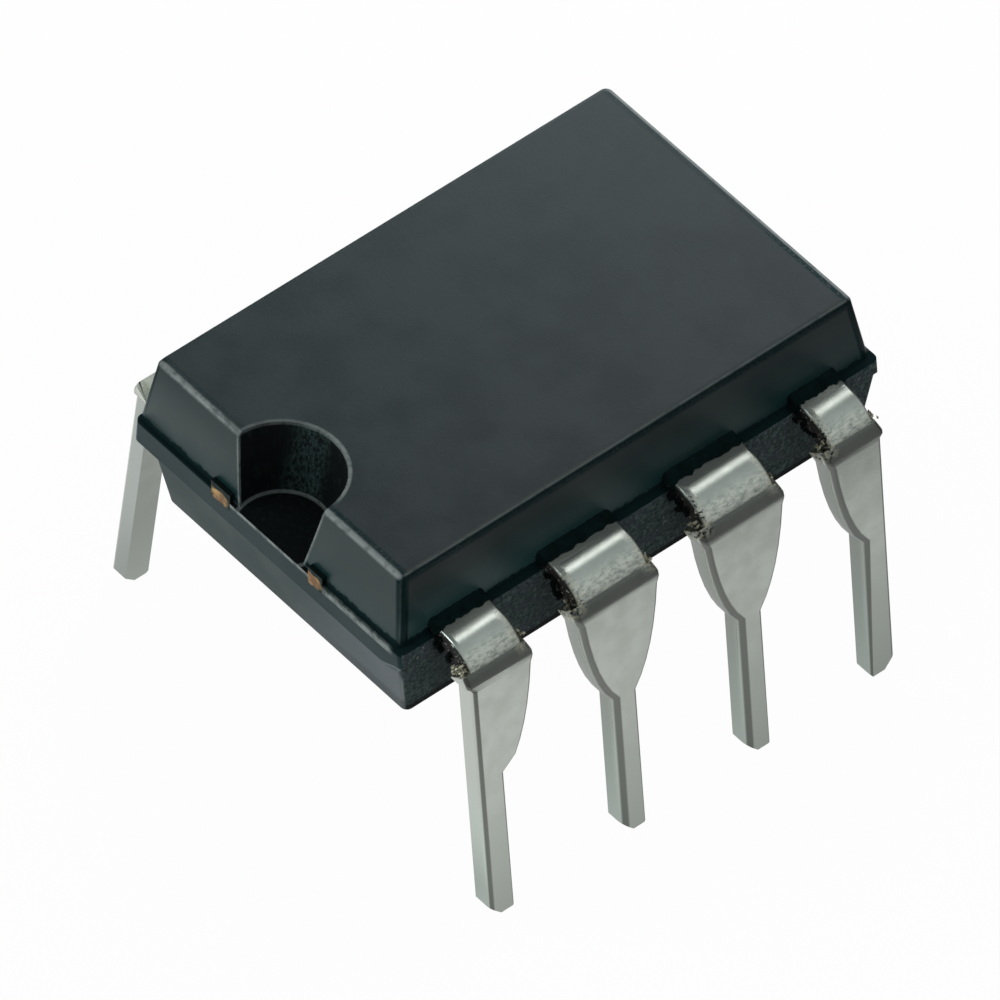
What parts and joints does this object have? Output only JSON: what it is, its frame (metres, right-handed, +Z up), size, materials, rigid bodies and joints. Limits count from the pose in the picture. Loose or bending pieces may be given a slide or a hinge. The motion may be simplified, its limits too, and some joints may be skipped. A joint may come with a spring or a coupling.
{
  "type": "dual in-line integrated circuit",
  "caption": "Moulded dual in-line integrated circuit with an index notch and two rows of bent through-hole leads, die and bond wires sealed inside.",
  "frame": {"origin": "centre of the outer box at its base, in the plane of the lead tips", "axes": "+Z up from the lead tips to the top face, +Y along the lead rows away from the index notch, +X across the rows towards the row that starts with lead 1"},
  "size_m": [0.0094, 0.0096, 0.0067],
  "materials": {
    "moulding": "satin black epoxy moulding compound, rough where it was cut free of the flash between the leads",
    "tinned_lead": "satin tin plate over copper, bright on the bends",
    "bare_copper": "bare copper alloy, sheared at the tie bar ends",
    "die_attach": "matt silver-filled epoxy",
    "silicon": "polished silicon",
    "bond_gold": "smooth drawn gold"
  },
  "bodies": {
    "root": {"moulded_body": "moulding", "lead_1": "tinned_lead", "lead_2": "tinned_lead", "lead_3": "tinned_lead", "lead_4": "tinned_lead", "lead_5": "tinned_lead", "lead_6": "tinned_lead", "lead_7": "tinned_lead", "lead_8": "tinned_lead", "die_paddle": "bare_copper", "die_attach": "die_attach", "silicon_die": "silicon", "bond_wire_1": "bond_gold", "bond_wire_2": "bond_gold", "bond_wire_3": "bond_gold", "bond_wire_4": "bond_gold", "bond_wire_5": "bond_gold", "bond_wire_6": "bond_gold", "bond_wire_7": "bond_gold", "bond_wire_8": "bond_gold"}
  },
  "joints": []
}
